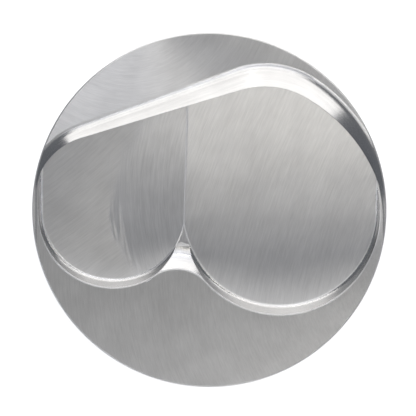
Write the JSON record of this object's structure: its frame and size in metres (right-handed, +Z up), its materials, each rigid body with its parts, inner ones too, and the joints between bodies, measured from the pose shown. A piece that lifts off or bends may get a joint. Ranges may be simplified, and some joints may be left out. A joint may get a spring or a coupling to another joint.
{
  "type": "golf ball marker",
  "caption": "Flat round metal golf ball marker with a milled golf-iron-back relief on its face and a magnet bonded into its underside.",
  "frame": {"origin": "centre of the flat underside", "axes": "+Z up along the disc's axis and out of the relief face, +Y towards the crown of the blade relief, +X towards its higher end"},
  "size_m": [0.0318, 0.0318, 0.0037],
  "materials": {
    "marker_body": "milled and brushed stainless steel",
    "magnet": "nickel-plated neodymium magnet, satin",
    "magnet_adhesive": "cured epoxy film"
  },
  "bodies": {
    "root": {"marker_body": "marker_body", "magnet": "magnet", "magnet_adhesive": "magnet_adhesive"}
  },
  "joints": []
}
